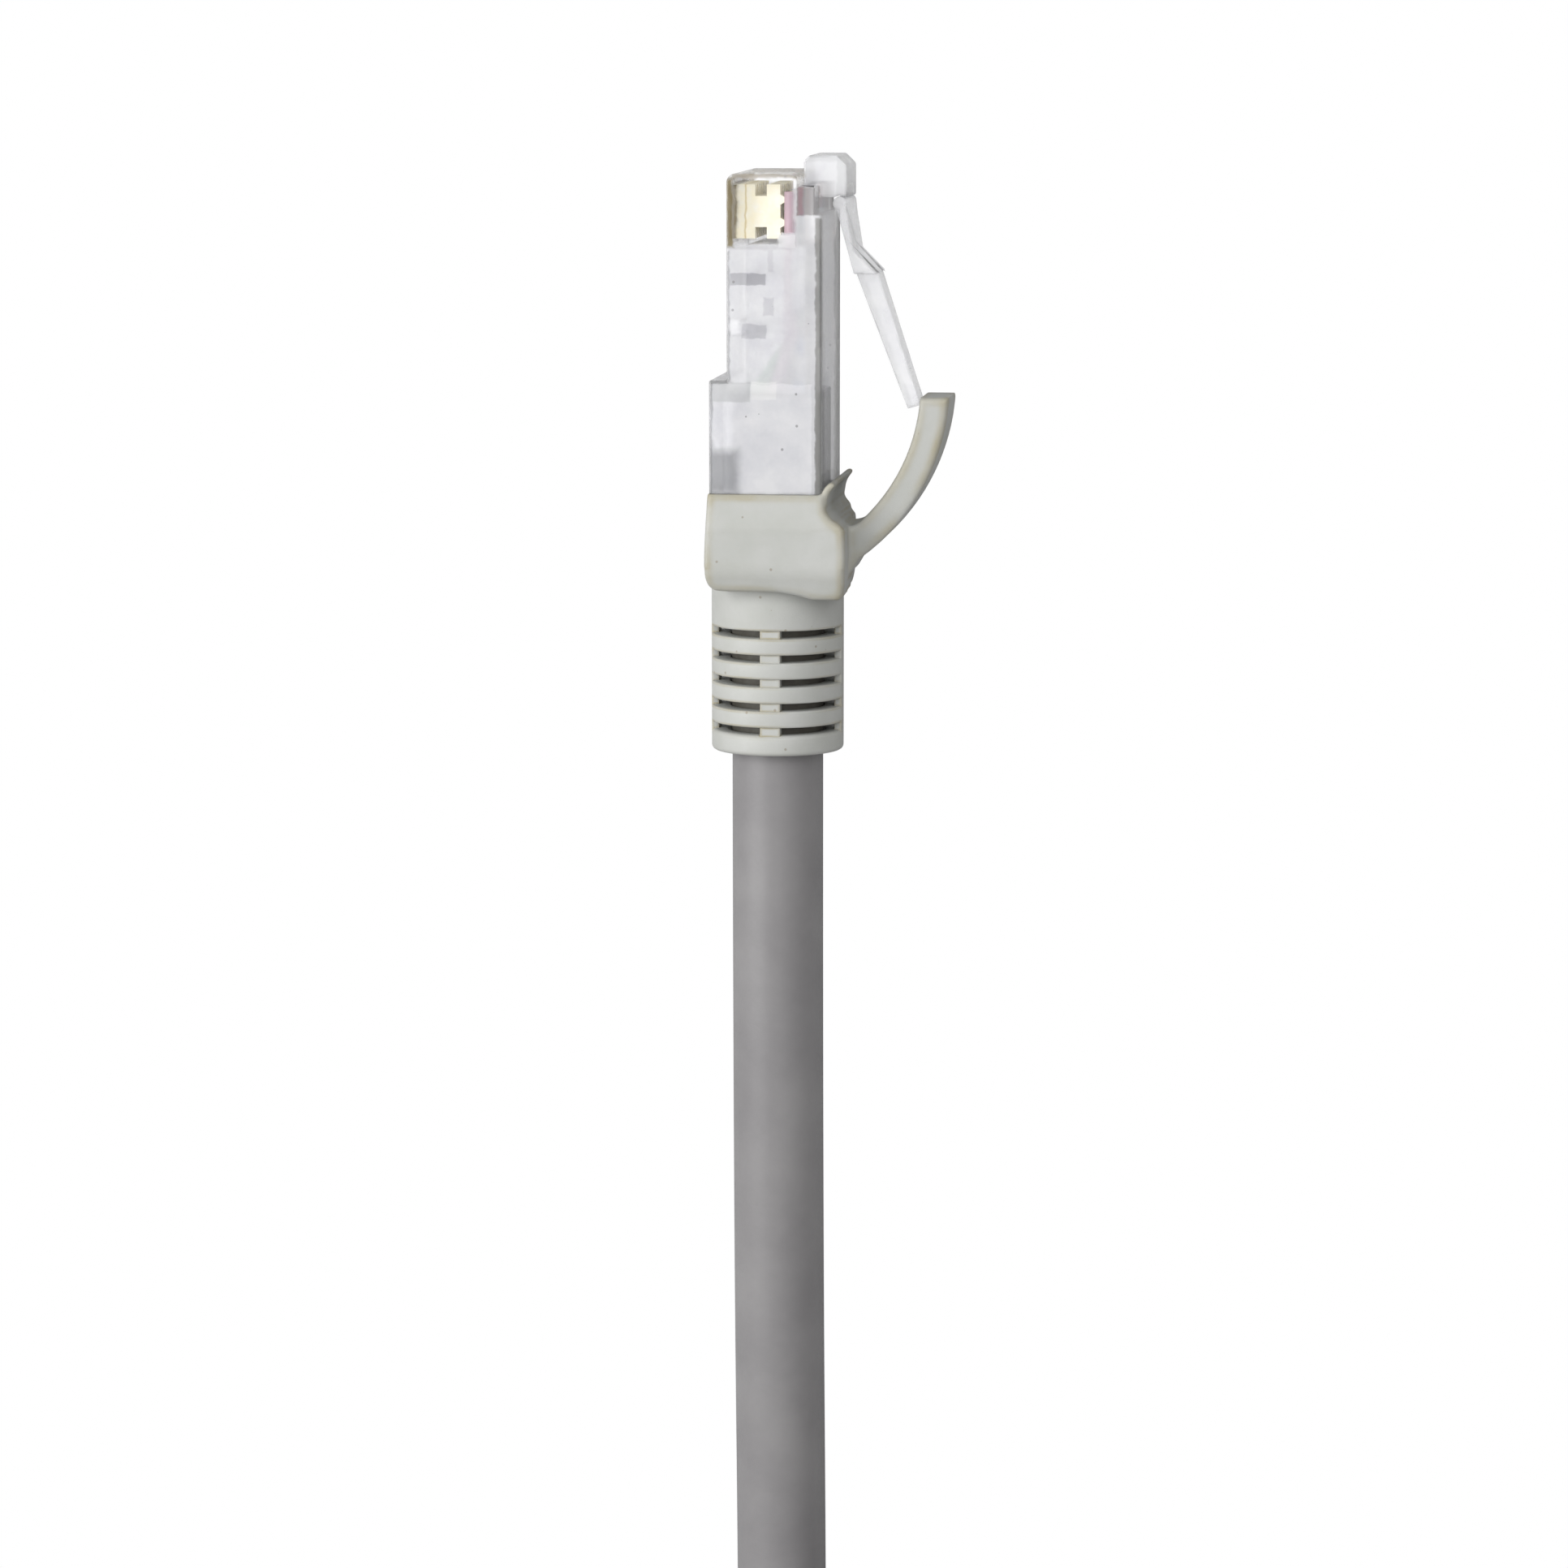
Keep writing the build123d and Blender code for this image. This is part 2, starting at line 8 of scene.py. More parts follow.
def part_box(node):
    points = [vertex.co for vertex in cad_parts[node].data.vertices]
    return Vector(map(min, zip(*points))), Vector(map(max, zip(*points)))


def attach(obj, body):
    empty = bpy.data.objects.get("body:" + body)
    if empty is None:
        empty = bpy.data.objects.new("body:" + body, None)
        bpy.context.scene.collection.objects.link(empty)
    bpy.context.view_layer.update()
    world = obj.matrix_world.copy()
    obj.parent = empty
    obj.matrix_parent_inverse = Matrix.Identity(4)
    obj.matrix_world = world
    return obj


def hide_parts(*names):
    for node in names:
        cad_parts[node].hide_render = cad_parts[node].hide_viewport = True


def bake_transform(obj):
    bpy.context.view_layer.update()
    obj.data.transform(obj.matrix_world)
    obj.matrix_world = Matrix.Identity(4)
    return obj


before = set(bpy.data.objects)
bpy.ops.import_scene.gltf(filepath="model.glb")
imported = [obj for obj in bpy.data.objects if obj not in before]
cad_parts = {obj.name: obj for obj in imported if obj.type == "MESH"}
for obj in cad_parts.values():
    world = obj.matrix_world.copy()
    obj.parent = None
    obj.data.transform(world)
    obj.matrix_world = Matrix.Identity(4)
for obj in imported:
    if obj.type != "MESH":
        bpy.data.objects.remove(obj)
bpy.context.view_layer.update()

# ---------------------------------------------------------------- camera
# A long lens looks down on plug A, a little from its nose and from its latch side, with the cable
# running straight down the view. Plug A has its own frame, with the origin on the cable axis at the
# nose: x toward the latch, y toward the nose, z up across the width.
MM = 0.001
ROOT_AHEAD = 1.2 * MM  # how far the latch root stands ahead of the nose
VIEW_DISTANCE = 380 * MM
TOWARD_LATCH, TOWARD_NOSE = radians(7.0), radians(8.5)
LOOK_ASIDE, LOOK_BACK = 0.44 * MM, 43.4 * MM


def middle(node_name, side):
    """The middle of a CAD node's box along one side, 0 to 2."""
    low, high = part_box(node_name)
    return (low[side] + high[side]) / 2


NOSE_A = Vector((middle("cable_run", 0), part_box("plug_a_housing")[1].y - ROOT_AHEAD,
                 middle("cable_end_a_jacket", 2)))
camera_data = bpy.data.cameras.new("camera")
camera_data.lens = 122.5
camera_data.clip_start = 0.01
camera = bpy.data.objects.new("camera", camera_data)
bpy.context.scene.collection.objects.link(camera)
look_at = NOSE_A + Vector((LOOK_ASIDE, -LOOK_BACK, 0))
toward_eye = Vector((sin(TOWARD_LATCH), sin(TOWARD_NOSE), 0))
toward_eye.z = sqrt(1 - toward_eye.length_squared)
right = Vector((0, 1, 0)).cross(toward_eye).normalized()
axes = Matrix((right, toward_eye.cross(right), toward_eye)).transposed()
camera.matrix_world = Matrix.Translation(look_at + toward_eye * VIEW_DISTANCE) @ axes.to_4x4()
bpy.context.scene.camera = camera


# ---------------------------------------------------------------- room
# A white table in a white room, with a big soft lamp on the plug's contact side and a smaller one over
# it. The table and the room are seen, and seen through clear plastic, brighter than they shine.
bpy.context.scene.view_settings.view_transform = "Standard"
bpy.context.scene.cycles.transparent_max_bounces = 32
ROOM_GLOW = 0.38
TABLE_REFLECTS = 0.5


def node(tree, kind, inputs=(), **settings):
    """A new shader node. Each of its inputs takes a value or a link from another node's output."""
    new = tree.nodes.new("ShaderNode" + kind)
    for setting, value in settings.items():
        setattr(new, setting, value)
    for socket, value in dict(inputs).items():
        if isinstance(value, bpy.types.NodeSocket):
            tree.links.new(value, new.inputs[socket])
        else:
            new.inputs[socket].default_value = value
    return new


def maths(tree, operation, *values):
    """The output of a Math node on one or two values or links."""
    return node(tree, "Math", dict(enumerate(values)), operation=operation).outputs[0]


def seen_by_eye(tree):
    """1 for rays from the camera and through clear plastic, 0 for the rest."""
    path = node(tree, "LightPath")
    return maths(tree, "MAXIMUM", path.outputs["Is Camera Ray"], path.outputs["Is Transmission Ray"])


world = bpy.data.worlds.new("white_room")
world.use_nodes = True
tree = world.node_tree
glow = node(tree, "MapRange", {"Value": seen_by_eye(tree), "To Min": ROOM_GLOW, "To Max": 1.0})
tree.links.new(glow.outputs["Result"], tree.nodes["Background"].inputs["Strength"])
tree.nodes["Background"].inputs["Color"].default_value = (1, 1, 1, 1)
bpy.context.scene.world = world

for lamp_name, place, size, power in (
    ("window_lamp", (-0.52, 0.12, 0.48), 0.6, 4.7),
    ("top_lamp", (0.12, 0.28, 0.71), 0.6, 2.6),
):
    lamp_data = bpy.data.lights.new(lamp_name, "AREA")
    lamp_data.shape = "SQUARE"
    lamp_data.size = size
    lamp_data.energy = power
    lamp = bpy.data.objects.new(lamp_name, lamp_data)
    bpy.context.scene.collection.objects.link(lamp)
    turn = (Vector(place) - look_at).to_track_quat("Z", "Y").to_matrix()
    lamp.matrix_world = Matrix.Translation(place) @ turn.to_4x4()

bpy.ops.object.select_all(action="DESELECT")
bpy.ops.mesh.primitive_plane_add(size=6, location=(0, 0, 0))
table = bpy.context.object
table.name = "table_top"
table_paint = bpy.data.materials.new("white_table")
table_paint.use_nodes = True
tree = table_paint.node_tree
seen = node(tree, "Emission", {"Color": (1, 1, 1, 1), "Strength": 1.0})
lit = node(tree, "BsdfDiffuse", {"Color": (TABLE_REFLECTS, TABLE_REFLECTS, TABLE_REFLECTS, 1)})
mix = node(tree, "MixShader", {0: seen_by_eye(tree), 1: lit.outputs[0], 2: seen.outputs[0]})
tree.links.new(mix.outputs[0], tree.nodes["Material Output"].inputs["Surface"])
table.data.materials.append(table_paint)


# ---------------------------------------------------------------- cable
# A round vinyl-jacketed cable, 6.5 mm thick and about a metre long. It leaves boot A straight, sinks
# to the table and goes into a neat coil of four turns, two beside two, then up to plug B on top.
CABLE_WIDTH = 6.5 * MM
COIL_LOW, COIL_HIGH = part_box("cable_coil")
COIL = Vector((middle("cable_coil", 0), middle("cable_coil", 1), middle("cable_coil", 2)))
BUNDLE_RADIUS = (COIL_HIGH.x - COIL_LOW.x) / 2 - CABLE_WIDTH
STRAND_OFFSET = CABLE_WIDTH / sqrt(2)
POINTS_A_TURN, TURNS = 16, 4
LEFT_OUT = 7  # points of the last turn, where the cable climbs off the coil
SWAP_START, SWAP_LENGTH = 200, 90  # where the strands change places in each turn, in degrees
SWAP_RISE = 0.95 * MM
SPLINE_SHRINK = 0.981  # a turn of the spline passes inside its points by this much
NOSE_B = Vector((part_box("plug_b_housing")[1].x - ROOT_AHEAD, middle("cable_end_b_jacket", 1),
                 middle("cable_end_b_jacket", 2)))
EXIT_BACK = NOSE_A.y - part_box("cable_run")[1].y
STRAIGHT_END, TOUCH_DOWN, COIL_START = 71 * MM, 108 * MM, 132 * MM  # how far behind the nose
LYING_HEIGHT = 3.75 * MM
# The end of the last turn, in mm: x and y from the middle of the coil, z from the table.
CLIMB_TO_PLUG_B = (
    (26.5, 27.4, 14.6), (13.5, 36.0, 17.3), (-1.5, 37.5, 17.6), (-16.5, 35.2, 17.2), (-28.6, 26.6, 17.2),
    (-35.6, 13.2, 17.8), (-35.6, -3.2, 18.6), (-27.0, -17.6, 19.5),
)

cable_route = [
    Vector((NOSE_A.x, NOSE_A.y - EXIT_BACK, NOSE_A.z)),
    Vector((NOSE_A.x, NOSE_A.y - STRAIGHT_END, NOSE_A.z)),
    Vector((NOSE_A.x, NOSE_A.y - TOUCH_DOWN, LYING_HEIGHT)),
    Vector((NOSE_A.x, NOSE_A.y - COIL_START, LYING_HEIGHT)),
]
for count in range(1, TURNS * POINTS_A_TURN - LEFT_OUT):
    turn, in_turn = divmod(count * 360 / POINTS_A_TURN, 360)
    share = min(max((in_turn - SWAP_START) / SWAP_LENGTH, 0), 1)
    swapped = share * share * (3 - 2 * share)
    round_bundle = radians(-45 - 90 * (turn + swapped))
    radius = (BUNDLE_RADIUS + STRAND_OFFSET * cos(round_bundle)) / SPLINE_SHRINK
    rise = STRAND_OFFSET * sin(round_bundle) + SWAP_RISE * 4 * swapped * (1 - swapped)
    polar = radians(180 + in_turn)
    cable_route.append(COIL + Vector((radius * cos(polar), radius * sin(polar), rise)))
for x, y, z in CLIMB_TO_PLUG_B:
    cable_route.append(Vector((COIL.x + x * MM, COIL.y + y * MM, z * MM)))
cable_route += [Vector((NOSE_B.x - EXIT_BACK - ahead * MM, NOSE_B.y, NOSE_B.z)) for ahead in (15.5, 0)]

cable_line = bpy.data.curves.new("cable", "CURVE")
cable_line.dimensions = "3D"
cable_line.bevel_depth = CABLE_WIDTH / 2
cable_line.bevel_resolution = 8
cable_line.resolution_u = 8
cable_line.use_fill_caps = True
spline = cable_line.splines.new("NURBS")
spline.points.add(len(cable_route) - 1)
for point, place in zip(spline.points, cable_route):
    point.co = (*place, 1)
spline.order_u = 3
spline.use_endpoint_u = True
cable = bpy.data.objects.new("cable", cable_line)
bpy.context.scene.collection.objects.link(cable)


def effect_group(name, inputs, outputs):
    """A new shader node group: its tree, its inputs and the node that takes its outputs."""
    group = bpy.data.node_groups.new(name, "ShaderNodeTree")
    for socket, default in inputs.items():
        kind = "NodeSocketColor" if isinstance(default, tuple) else "NodeSocketFloat"
        group.interface.new_socket(socket, in_out="INPUT", socket_type=kind).default_value = default
    for socket in outputs:
        kind = "NodeSocketColor" if socket == "Colour" else "NodeSocketFloat"
        group.interface.new_socket(socket, in_out="OUTPUT", socket_type=kind)
    return group, group.nodes.new("NodeGroupInput").outputs, group.nodes.new("NodeGroupOutput").inputs


# Plastic mottling: two colours clouded into each other, and a fine grain for the bump and the roughness.
mottling, given, result = effect_group(
    "mottling",
    {"Colour 1": (1, 1, 1, 1), "Colour 2": (0, 0, 0, 1), "Cloud Scale": 200.0, "Grain Scale": 5000.0,
     "Roughness": 0.5},
    ("Colour", "Height", "Roughness"),
)
place = node(mottling, "TexCoord").outputs["Object"]
cloud = node(mottling, "TexNoise", {"Vector": place, "Scale": given["Cloud Scale"], "Detail": 4.0,
                                    "Roughness": 0.6})
spread = node(mottling, "MapRange", {"Value": cloud.outputs["Fac"], "From Min": 0.33, "From Max": 0.67})
blend = node(mottling, "Mix", {0: spread.outputs["Result"], 6: given["Colour 1"], 7: given["Colour 2"]},
             data_type="RGBA")
grain = node(mottling, "TexNoise", {"Vector": place, "Scale": given["Grain Scale"], "Detail": 3.0})
rough = node(mottling, "MapRange", {"Value": grain.outputs["Fac"], "From Min": 0.3, "From Max": 0.7,
                                    "To Min": -0.06, "To Max": 0.06})
rough = maths(mottling, "ADD", given["Roughness"], rough.outputs["Result"])
mottling.links.new(blend.outputs[2], result["Colour"])
mottling.links.new(grain.outputs["Fac"], result["Height"])
mottling.links.new(rough, result["Roughness"])


def plastic(name, colour_1, colour_2, cloud_size, grain_size, roughness, depth=0.01 * MM, **shader_values):
    """A clouded plastic with a fine grain. Sizes are in metres."""
    material = bpy.data.materials.new(name)
    material.use_nodes = True
    tree = material.node_tree
    clouds = node(
        tree, "Group",
        {"Colour 1": (*colour_1, 1), "Colour 2": (*colour_2, 1), "Cloud Scale": 1 / cloud_size,
         "Grain Scale": 1 / grain_size, "Roughness": roughness},
        node_tree=mottling)
    shader = tree.nodes["Principled BSDF"]
    bump = node(tree, "Bump", {"Distance": depth, "Height": clouds.outputs["Height"]})
    tree.links.new(clouds.outputs["Colour"], shader.inputs["Base Color"])
    tree.links.new(clouds.outputs["Roughness"], shader.inputs["Roughness"])
    tree.links.new(bump.outputs["Normal"], shader.inputs["Normal"])
    for socket, value in shader_values.items():
        shader.inputs[socket.replace("_", " ")].default_value = value
    return material


jacket_vinyl = plastic(
    "jacket_vinyl", (0.205, 0.198, 0.202), (0.245, 0.238, 0.240), 7 * MM, 0.25 * MM, 0.42)
cable_line.materials.append(jacket_vinyl)


def finish(node_name, material):
    """Give a CAD node its material."""
    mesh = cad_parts[node_name].data
    mesh.materials.clear()
    mesh.materials.append(material)


# Inside the boots' slots the jacket is painted darker and browner, as painted shade.
shaded_slot_vinyl = plastic(
    "shaded_slot_vinyl", (0.085, 0.078, 0.062), (0.125, 0.118, 0.10), 1.5 * MM, 0.25 * MM, 0.6)
for end in "ab":
    finish(f"cable_end_{end}_jacket", shaded_slot_vinyl)
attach(cable, "cable")
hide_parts("cable_run", "cable_coil", "cable_tail")


# ---------------------------------------------------------------- boots
# Each boot is one soft grey vinyl moulding over the cable and the back of the plug: a square hood with a
# thin flared lip and a hollow on the latch side, a curved arm that guards the latch's tip, and a neck.
# It is modelled in plug A's frame and copied to both ends.
PLUG_B_TURN = Matrix(((0, 1, 0, 0), (1, 0, 0, 0), (0, 0, -1, 0), (0, 0, 0, 1)))  # nose along x
PLUGS = {"a": Matrix.Translation(NOSE_A), "b": Matrix.Translation(NOSE_B) @ PLUG_B_TURN}
# In mm. Places along the boot are measured behind the nose.
HOOD_HALF, HOOD_ROUNDING, RIM_HALF, RIM_BACK, TAPER_BACK = 6.5, 0.3, 6.1, 22.2, 24.5
SHOULDER_BACK, SHOULDER_HALF, SHOULDER_WIDE, SHOULDER_DEEP, SOFT_HALF = 27.3, 5.0, 1.5, 1.8, 3.2
ARM_CENTRE, ARM_INNER, ARM_OUTER, ARM_TIP, ARM_HALF = Vector((-2.65, -14.72)), 13.0, 15.03, 15.6, 2.95
BORE_RADIUS, BORE_LENGTH, BORE_MIDDLE = 3.3, 30, 26
BOOT_VOXEL = 0.15 * MM


def arc(centre, radius, start, end, steps):
    """Points in mm on an arc round centre, from one back distance to another, on its latch side."""
    points = []
    for count in range(steps + 1):
        drop = start + (end - start) * count / steps + centre.y
        points.append((centre.x + sqrt(radius**2 - drop**2), centre.y - drop))
    return points


def outline_solid(name, outline, half, rounding):
    """A solid with that outline in mm, half its thickness each side of z = 0 and its rims rounded."""
    line = bpy.data.curves.new(name, "CURVE")
    line.dimensions = "2D"
    line.fill_mode = "BOTH"
    line.extrude = (half - rounding) * MM
    line.bevel_depth = rounding * MM
    line.offset = -rounding * MM
    line.bevel_resolution = 4
    edge = line.splines.new("POLY")
    edge.points.add(len(outline) - 1)
    for point, (x, y) in zip(edge.points, outline):
        point.co = (x * MM, y * MM, 0, 1)
    edge.use_cyclic_u = True
    solid = bpy.data.objects.new(name, line)
    bpy.context.scene.collection.objects.link(solid)
    edit_only(solid)
    bpy.ops.object.convert(target="MESH")
    solid = bpy.context.object
    bpy.ops.object.mode_set(mode="EDIT")
    bpy.ops.mesh.select_all(action="SELECT")
    bpy.ops.mesh.remove_doubles(threshold=0.001 * MM)
    bpy.ops.mesh.normals_make_consistent(inside=False)
    bpy.ops.object.mode_set(mode="OBJECT")
    return solid


def edit_only(piece):
    """Make a piece the only selected one and the active one."""
    bpy.ops.object.select_all(action="DESELECT")
    piece.select_set(True)
    bpy.context.view_layer.objects.active = piece


def select_vertices(piece, test):
    """In edit mode, select only the vertices whose place, in mm, passes the test."""
    mesh = bmesh.from_edit_mesh(piece.data)
    for vertex in mesh.verts:
        vertex.select = test(vertex.co / MM)
    mesh.select_flush_mode()
    bmesh.update_edit_mesh(piece.data)


def apply_modifier(piece, kind, **settings):
    """Add a modifier and apply it."""
    edit_only(piece)
    modifier = piece.modifiers.new(kind, kind)
    for setting, value in settings.items():
        setattr(modifier, setting, value)
    bpy.ops.object.modifier_apply(modifier=modifier.name)


def join(pieces):
    """Join pieces into the first."""
    edit_only(pieces[0])
    for piece in pieces:
        piece.select_set(True)
    bpy.ops.object.join()
    return bpy.context.object


hood = outline_solid(
    "hood",
    [(-4.15, -20.5), (3.95, -20.5), (3.98, -22.7), (4.12, -23.35), (4.5, -23.85), (5.1, -24.2),
     (5.42, -24.6), (5.5, -26.5), (5.42, -28.6), (5.25, -29.4), (4.85, -30.25), (4.2, -30.05),
     (3.2, -29.65), (2.2, -29.3), (1.0, -29.1), (-0.5, -29.05), (-2.6, -29.05), (-3.75, -29.0),
     (-4.2, -28.65), (-4.42, -28.0), (-4.42, -26.5)],
    HOOD_HALF, HOOD_ROUNDING,
)
# It is cut off square at its rim and narrows toward it. Its lower edge on the latch side is set in.
edit_only(hood)
bpy.ops.object.mode_set(mode="EDIT")
bpy.ops.mesh.select_all(action="SELECT")
bpy.ops.mesh.bisect(plane_co=(0, -TAPER_BACK * MM, 0), plane_no=(0, 1, 0))
bpy.ops.mesh.select_all(action="SELECT")
bpy.ops.mesh.bisect(plane_co=(0, -RIM_BACK * MM, 0), plane_no=(0, 1, 0), clear_outer=True, use_fill=True)
mesh = bmesh.from_edit_mesh(hood.data)
for vertex in mesh.verts:
    ahead = max(0, (vertex.co.y / MM + TAPER_BACK) / (TAPER_BACK - RIM_BACK))
    vertex.co.z *= 1 - ahead * (1 - RIM_HALF / HOOD_HALF)
bmesh.update_edit_mesh(hood.data)
select_vertices(hood, lambda at: at.x > 4.9 and at.z < -5)
bpy.ops.transform.translate(value=(-0.55 * MM, 0, 0))
bpy.ops.object.mode_set(mode="OBJECT")
# Across its width its end has two rounded shoulders, which fall more steeply toward the flat middle.
shoulders = outline_solid(
    "shoulders",
    [(side * (SHOULDER_HALF + SHOULDER_WIDE * cos(radians(turn))),
      -SHOULDER_BACK - SHOULDER_DEEP * sin(radians(turn)) - 0.03 * max(turn - 36, 0))
     for side, turns in ((1, range(0, 70, 12)), (-1, range(60, -10, -12))) for turn in turns]
    + [(-HOOD_HALF, -20), (HOOD_HALF, -20)],
    8, 0.02,
)
shoulders.data.transform(Matrix.Rotation(pi / 2, 4, "Y"))
apply_modifier(hood, "BOOLEAN", object=shoulders, operation="INTERSECT", solver="EXACT")
bpy.data.objects.remove(shoulders)

lip = outline_solid(
    "lip",
    [(3.82, -22.9), (3.82, -22.0), (4.0, -21.65), (4.4, -21.3), (4.66, -21.32), (4.7, -21.55),
     (4.42, -21.9), (4.22, -22.3), (4.15, -22.9)],
    RIM_HALF - 0.15, 0.1,
)
arm = outline_solid(
    "arm",
    arc(ARM_CENTRE, ARM_INNER, ARM_TIP, 23.8, 12)
    + [(6.1, -24.35), (5.75, -24.55), (5.2, -24.65), (3.5, -24.7), (3.5, -27.8), (4.9, -28.1), (5.42, -28.0)]
    + arc(ARM_CENTRE, ARM_OUTER, 27.0, ARM_TIP, 18),
    ARM_HALF, 0.28,
)
# The three are melted into one skin, with soft shoulders, and bored for the cable.
boot_skin = join([hood, lip, arm])
boot_skin.name = "boot_skin"
apply_modifier(boot_skin, "REMESH", mode="VOXEL", voxel_size=BOOT_VOXEL)
apply_modifier(boot_skin, "SMOOTH", factor=0.5, iterations=4)
edit_only(boot_skin)
bpy.ops.object.mode_set(mode="EDIT")
bpy.ops.mesh.select_mode(type="VERT")
select_vertices(boot_skin, lambda at: at.y < -SHOULDER_BACK and abs(at.z) > SOFT_HALF)
bpy.ops.mesh.vertices_smooth(factor=0.5, repeat=14)
bpy.ops.object.mode_set(mode="OBJECT")
bpy.ops.mesh.primitive_cylinder_add(
    vertices=64, radius=BORE_RADIUS * MM, depth=BORE_LENGTH * MM, location=(0, -BORE_MIDDLE * MM, 0),
    rotation=(pi / 2, 0, 0))
bore = bpy.context.object
apply_modifier(boot_skin, "BOOLEAN", object=bore, operation="DIFFERENCE", solver="EXACT")
bpy.data.objects.remove(bore)

# Edge tint: 1 on the convex and concave edges of a moulding, broken up by noise.
edge_tint, given, result = effect_group(
    "edge_tint", {"Width": 0.001, "Turn": 0.07, "Patch Scale": 400.0}, ("Mask",))
rounded = node(edge_tint, "Bevel", {"Radius": given["Width"]}, samples=8)
facing = node(edge_tint, "NewGeometry").outputs["Normal"]
alike = node(edge_tint, "VectorMath", {0: rounded.outputs[0], 1: facing}, operation="DOT_PRODUCT")
least = maths(edge_tint, "SUBTRACT", 1.0, given["Turn"])
edge = node(edge_tint, "MapRange", {"Value": alike.outputs["Value"], "From Min": 1.0, "From Max": least})
place = node(edge_tint, "TexCoord").outputs["Object"]
patches = node(edge_tint, "TexNoise", {"Vector": place, "Scale": given["Patch Scale"], "Detail": 3.0})
patches = node(edge_tint, "MapRange", {"Value": patches.outputs["Fac"], "From Min": 0.35, "From Max": 0.65})
mask = maths(edge_tint, "MULTIPLY", edge.outputs["Result"], patches.outputs["Result"])
edge_tint.links.new(mask, result["Mask"])

# Specks: 1 on a few small dots of dirt.
specks, given, result = effect_group("specks", {"Scale": 1100.0, "Size": 0.11}, ("Mask",))
place = node(specks, "TexCoord").outputs["Object"]
cells = node(specks, "TexVoronoi", {"Vector": place, "Scale": given["Scale"]})
near = maths(specks, "LESS_THAN", cells.outputs["Distance"], given["Size"])
pick = node(specks, "SeparateColor", {0: cells.outputs["Color"]})
few = maths(specks, "GREATER_THAN", pick.outputs[0], 0.7)
specks.links.new(maths(specks, "MULTIPLY", near, few), result["Mask"])


def tint(material, mask, amount, colour):
    """Mix a colour into a material's base colour by a mask."""
    tree = material.node_tree
    base = tree.nodes["Principled BSDF"].inputs["Base Color"]
    share = maths(tree, "MULTIPLY", mask, amount)
    mixed = node(tree, "Mix", {0: share, 6: base.links[0].from_socket, 7: (*colour, 1)}, data_type="RGBA")
    tree.links.new(mixed.outputs[2], base)


def boot_plastic(name, stain_width):
    """The boots' vinyl, stained brown along its edges over that width."""
    vinyl = plastic(name, (0.423, 0.430, 0.404), (0.462, 0.467, 0.448), 3 * MM, 0.12 * MM, 0.5)
    stain = node(vinyl.node_tree, "Group", {"Width": stain_width, "Turn": 0.007, "Patch Scale": 260},
                 node_tree=edge_tint)
    tint(vinyl, stain.outputs["Mask"], 0.85, (0.34, 0.30, 0.19))
    dirt = node(vinyl.node_tree, "Group", node_tree=specks)
    tint(vinyl, dirt.outputs["Mask"], 0.5, (0.2, 0.15, 0.09))
    return vinyl


# The neck: six rings turned round the cable, held together by four bars along it.
NECK_OUTER, NECK_INNER, NECK_FRONT, NECK_END = 4.68, 3.32, 27.0, 40.8
RING_ROUNDING, END_ROUNDING = 0.13, 0.32
SLOT_FIRST, SLOT_PITCH, SLOT_HEIGHT, SLOTS = 31.93, 1.71, 0.55, 5
BAR_HALF, BAR_LENGTH, BAR_MIDDLE, BAR_ROUNDING = 0.72, 10.5, 35, 0.1
BAR_INNER, BAR_OUTER, LATCH_BAR_INNER, LATCH_BAR_OUTER = NECK_INNER + 0.05, 4.5, 4.1, 4.64
neck_rings = []
for ring in range(SLOTS + 1):
    front = SLOT_FIRST + (ring - 1) * SLOT_PITCH + SLOT_HEIGHT if ring else NECK_FRONT
    back = SLOT_FIRST + ring * SLOT_PITCH if ring < SLOTS else NECK_END
    bpy.ops.object.select_all(action="DESELECT")
    bpy.ops.mesh.primitive_cylinder_add(
        vertices=96, radius=NECK_OUTER * MM, depth=(back - front) * MM,
        location=(0, -(front + back) / 2 * MM, 0), rotation=(pi / 2, 0, 0))
    band = bpy.context.object
    bpy.ops.object.transform_apply()
    bpy.ops.object.mode_set(mode="EDIT")
    bpy.ops.mesh.select_mode(type="FACE")
    mesh = bmesh.from_edit_mesh(band.data)
    for face in mesh.faces:
        face.select = abs(face.normal.y) > 0.9
    bmesh.update_edit_mesh(band.data)
    bpy.ops.mesh.inset(thickness=(NECK_OUTER - NECK_INNER) * MM, use_individual=True)
    bpy.ops.mesh.bridge_edge_loops()
    bpy.ops.object.mode_set(mode="OBJECT")
    apply_modifier(band, "BEVEL", width=(RING_ROUNDING if ring < SLOTS else END_ROUNDING) * MM,
                   segments=4, limit_method="ANGLE", angle_limit=radians(50))
    neck_rings.append(band)
neck = join(neck_rings)
neck.name = "neck"
bars = []
for x, z in ((1, 0), (-1, 0), (0, 1), (0, -1)):
    inside, outside = (LATCH_BAR_INNER, LATCH_BAR_OUTER) if x else (BAR_INNER, BAR_OUTER)
    reach, thick = (inside + outside) / 2 * MM, (outside - inside) * MM
    size = (thick if x else 2 * BAR_HALF * MM, BAR_LENGTH * MM, thick if z else 2 * BAR_HALF * MM)
    bpy.ops.mesh.primitive_cube_add(
        size=1, location=(x * reach, -BAR_MIDDLE * MM, z * reach), scale=size)
    bar = bpy.context.object
    bpy.ops.object.transform_apply()
    apply_modifier(bar, "BEVEL", width=BAR_ROUNDING * MM, segments=2)
    bars.append(bar)
bars = join(bars)
apply_modifier(neck, "BOOLEAN", object=bars, operation="UNION", solver="EXACT")
bpy.data.objects.remove(bars)


def copy_to(piece, name, plug):
    """A copy of a piece from plug A's own frame at an end's place, with a mesh of its own."""
    new = bpy.data.objects.new(name, piece.data.copy())
    new.data.transform(plug)
    bpy.context.scene.collection.objects.link(new)
    return new


